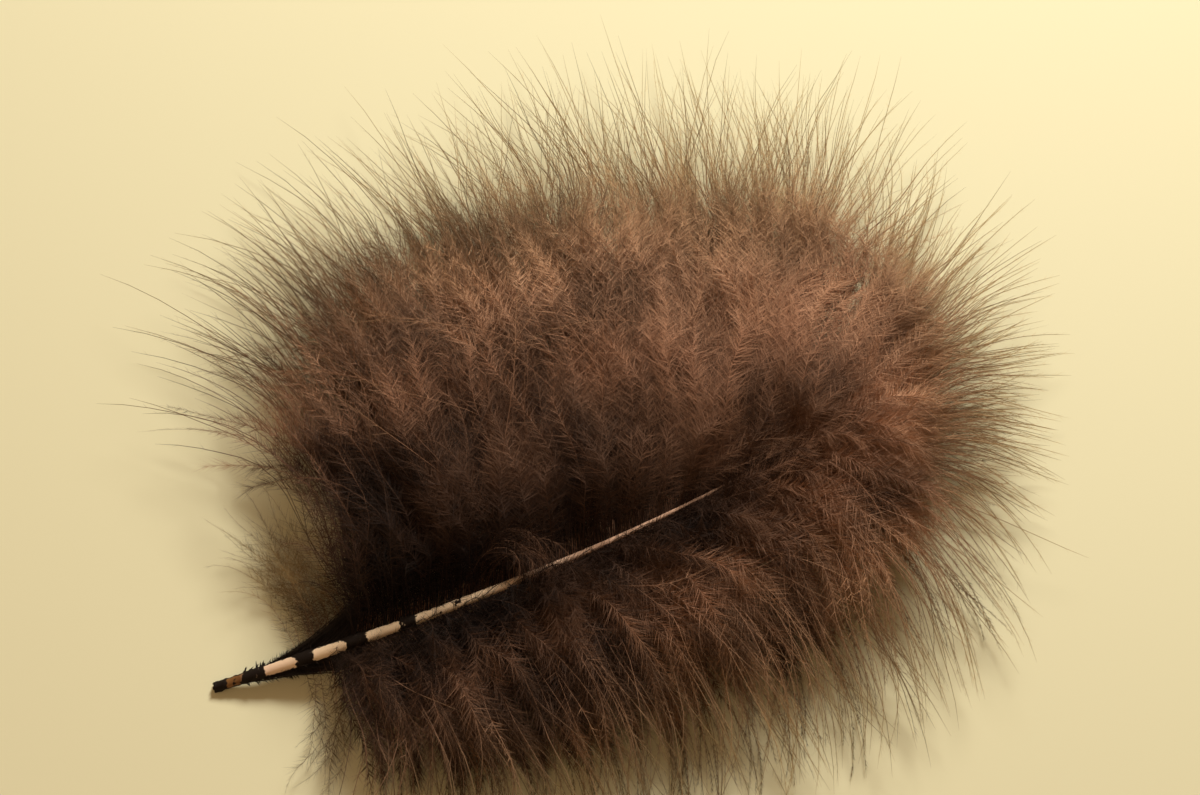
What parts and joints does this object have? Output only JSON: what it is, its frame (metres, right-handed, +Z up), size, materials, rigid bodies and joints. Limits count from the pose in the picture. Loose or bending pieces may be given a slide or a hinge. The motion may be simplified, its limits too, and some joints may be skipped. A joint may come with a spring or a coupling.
{
  "type": "marabou feather",
  "caption": "Soft downy plume for trimming and crafts: a thin banded quill with long loose barbs that spread to both sides and past its tip.",
  "frame": {"origin": "middle of the feather's footprint, on the surface that it lies on", "axes": "+X along the quill from its cut end towards the tip, +Y towards the side with the longer barbs, +Z up"},
  "size_m": [0.1274, 0.1232, 0.022],
  "materials": {
    "brown_down": "soft brown down, lighter and more golden towards the barb tips",
    "quill": "cream horn with black bands and a rough dark cut end"
  },
  "bodies": {
    "root": {"feather": "brown_down"}
  },
  "joints": []
}
